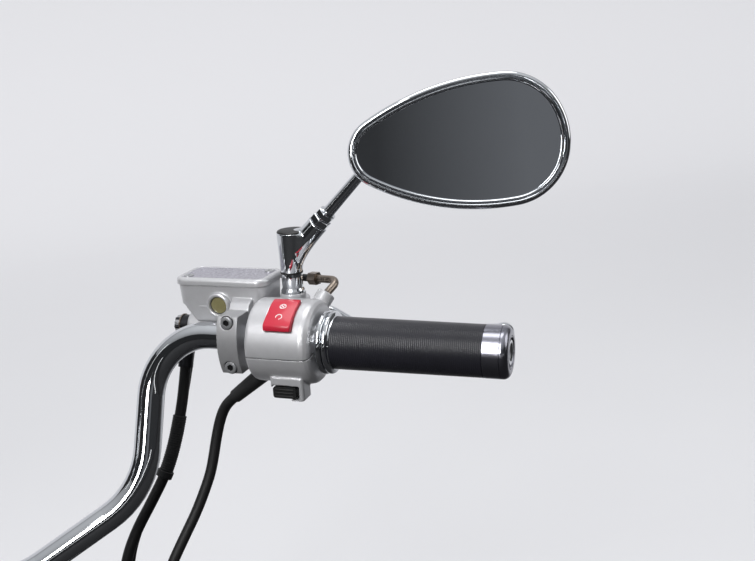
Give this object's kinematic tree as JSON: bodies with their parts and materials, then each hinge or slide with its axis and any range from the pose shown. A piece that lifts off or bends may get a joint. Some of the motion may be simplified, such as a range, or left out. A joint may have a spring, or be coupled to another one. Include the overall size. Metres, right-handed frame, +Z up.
{
  "type": "motorcycle handlebar assembly",
  "caption": "Pull-back cruiser motorcycle handlebar with twist throttle, rubber grips, brake and clutch levers, master cylinder, switch housings, hose, wires and mirrors.",
  "frame": {"origin": "middle of the straight stretch of tube that the riser clamps hold", "axes": "+X to the rider's right along the clamped stretch, +Y forward, +Z up"},
  "size_m": [1.0104, 0.234, 0.593],
  "materials": {
    "chrome": "polished chrome plate",
    "cast_alloy": "satin silver paint on die-cast alloy",
    "grip_rubber": "matt moulded rubber",
    "black_plastic": "fine moulded texture",
    "red_plastic": "satin moulded plastic",
    "mirror_silver": "silvered glass",
    "sight_glass": "clear disc over brake fluid",
    "hose_rubber": "extruded rubber",
    "plated_steel": "yellow zinc plate",
    "black_rubber": "moulded rubber",
    "nylon": "moulded nylon",
    "bolt_steel": "bright zinc plate"
  },
  "bodies": {
    "bar": {"handlebar_tube": "chrome", "bar_end_plugs": "bolt_steel", "master_cylinder": "cast_alloy", "master_cylinder_clamp": "cast_alloy", "reservoir_lid": "cast_alloy", "sight_glass": "sight_glass", "brake_light_switch": "black_plastic", "right_switch_upper": "cast_alloy", "right_switch_lower": "cast_alloy", "kill_switch": "red_plastic", "starter_button": "black_plastic", "throttle_cable_elbow": "plated_steel", "clutch_perch": "cast_alloy", "clutch_perch_clamp": "cast_alloy", "clutch_adjuster": "bolt_steel", "left_switch_upper": "cast_alloy", "left_switch_lower": "cast_alloy", "dimmer_switch": "black_plastic", "turn_signal_switch": "black_plastic", "horn_button": "black_plastic", "left_grip": "grip_rubber", "left_grip_collar": "chrome", "left_grip_cap": "chrome", "lever_pivot_bolts": "bolt_steel", "right_mirror_collar": "chrome", "left_mirror_collar": "chrome", "brake_hose": "hose_rubber", "brake_hose_banjo": "bolt_steel", "brake_hose_end": "bolt_steel", "switch_wires": "hose_rubber", "switch_wires_boot": "black_rubber", "switch_wires_plug": "black_plastic", "throttle_cable": "hose_rubber", "throttle_cable_end": "bolt_steel"},
    "throttle": {"right_grip": "grip_rubber", "right_grip_collar": "chrome", "right_grip_cap": "chrome"},
    "brake_lever": {"brake_lever": "chrome"},
    "clutch_lever": {"clutch_lever": "chrome"},
    "right_mirror_stem": {"right_mirror_base": "chrome", "right_mirror_cap": "black_plastic", "right_mirror_rod": "chrome"},
    "right_mirror_socket": {"right_mirror_socket": "nylon"},
    "right_mirror_head": {"right_mirror_shell": "chrome", "right_mirror_rim": "chrome", "right_mirror_glass": "mirror_silver"},
    "left_mirror_stem": {"left_mirror_base": "chrome", "left_mirror_cap": "black_plastic", "left_mirror_rod": "chrome"},
    "left_mirror_socket": {"left_mirror_socket": "nylon"},
    "left_mirror_head": {"left_mirror_shell": "chrome", "left_mirror_rim": "chrome", "left_mirror_glass": "mirror_silver"}
  },
  "joints": [
    {"name": "throttle_twist", "type": "hinge", "parent": "bar", "child": "throttle", "pos_m": [0.201, 0.04, 0.172], "axis": [0.8187, -0.5732, -0.0349], "range_deg": [0, 75], "stiffness_Nm_per_rad": 0.25, "springref_deg": -34.38},
    {"name": "brake_squeeze", "type": "hinge", "parent": "bar", "child": "brake_lever", "pos_m": [0.31889, 0.02337, 0.1733], "axis": [-0.0286, 0.02, -0.9994], "range_deg": [0, 11], "stiffness_Nm_per_rad": 2, "springref_deg": -22.92},
    {"name": "clutch_squeeze", "type": "hinge", "parent": "bar", "child": "clutch_lever", "pos_m": [-0.31889, 0.02337, 0.1733], "axis": [-0.0286, -0.02, 0.9994], "range_deg": [0, 11], "stiffness_Nm_per_rad": 2, "springref_deg": -22.92},
    {"name": "right_mirror_swivel", "type": "hinge", "parent": "bar", "child": "right_mirror_stem", "pos_m": [0.31351, 0.00273, 0.21406], "axis": [0.0286, -0.02, 0.9994], "range_deg": [-20, 20]},
    {"name": "right_mirror_tilt", "type": "hinge", "parent": "right_mirror_stem", "child": "right_mirror_socket", "pos_m": [0.37929, -0.04333, 0.30436], "axis": [0.9527, -0.304, 0], "range_deg": [-10, 10]},
    {"name": "right_mirror_pan", "type": "hinge", "parent": "right_mirror_socket", "child": "right_mirror_head", "pos_m": [0.37929, -0.04333, 0.30436], "axis": [0.0455, 0.1425, 0.9888], "range_deg": [-10, 10]},
    {"name": "left_mirror_swivel", "type": "hinge", "parent": "bar", "child": "left_mirror_stem", "pos_m": [-0.31351, 0.00273, 0.21406], "axis": [-0.0286, -0.02, 0.9994], "range_deg": [-20, 20]},
    {"name": "left_mirror_tilt", "type": "hinge", "parent": "left_mirror_stem", "child": "left_mirror_socket", "pos_m": [-0.37929, -0.04333, 0.30436], "axis": [-0.9527, -0.304, 0], "range_deg": [-10, 10]},
    {"name": "left_mirror_pan", "type": "hinge", "parent": "left_mirror_socket", "child": "left_mirror_head", "pos_m": [-0.37929, -0.04333, 0.30436], "axis": [-0.0455, 0.1425, 0.9888], "range_deg": [-10, 10]}
  ]
}
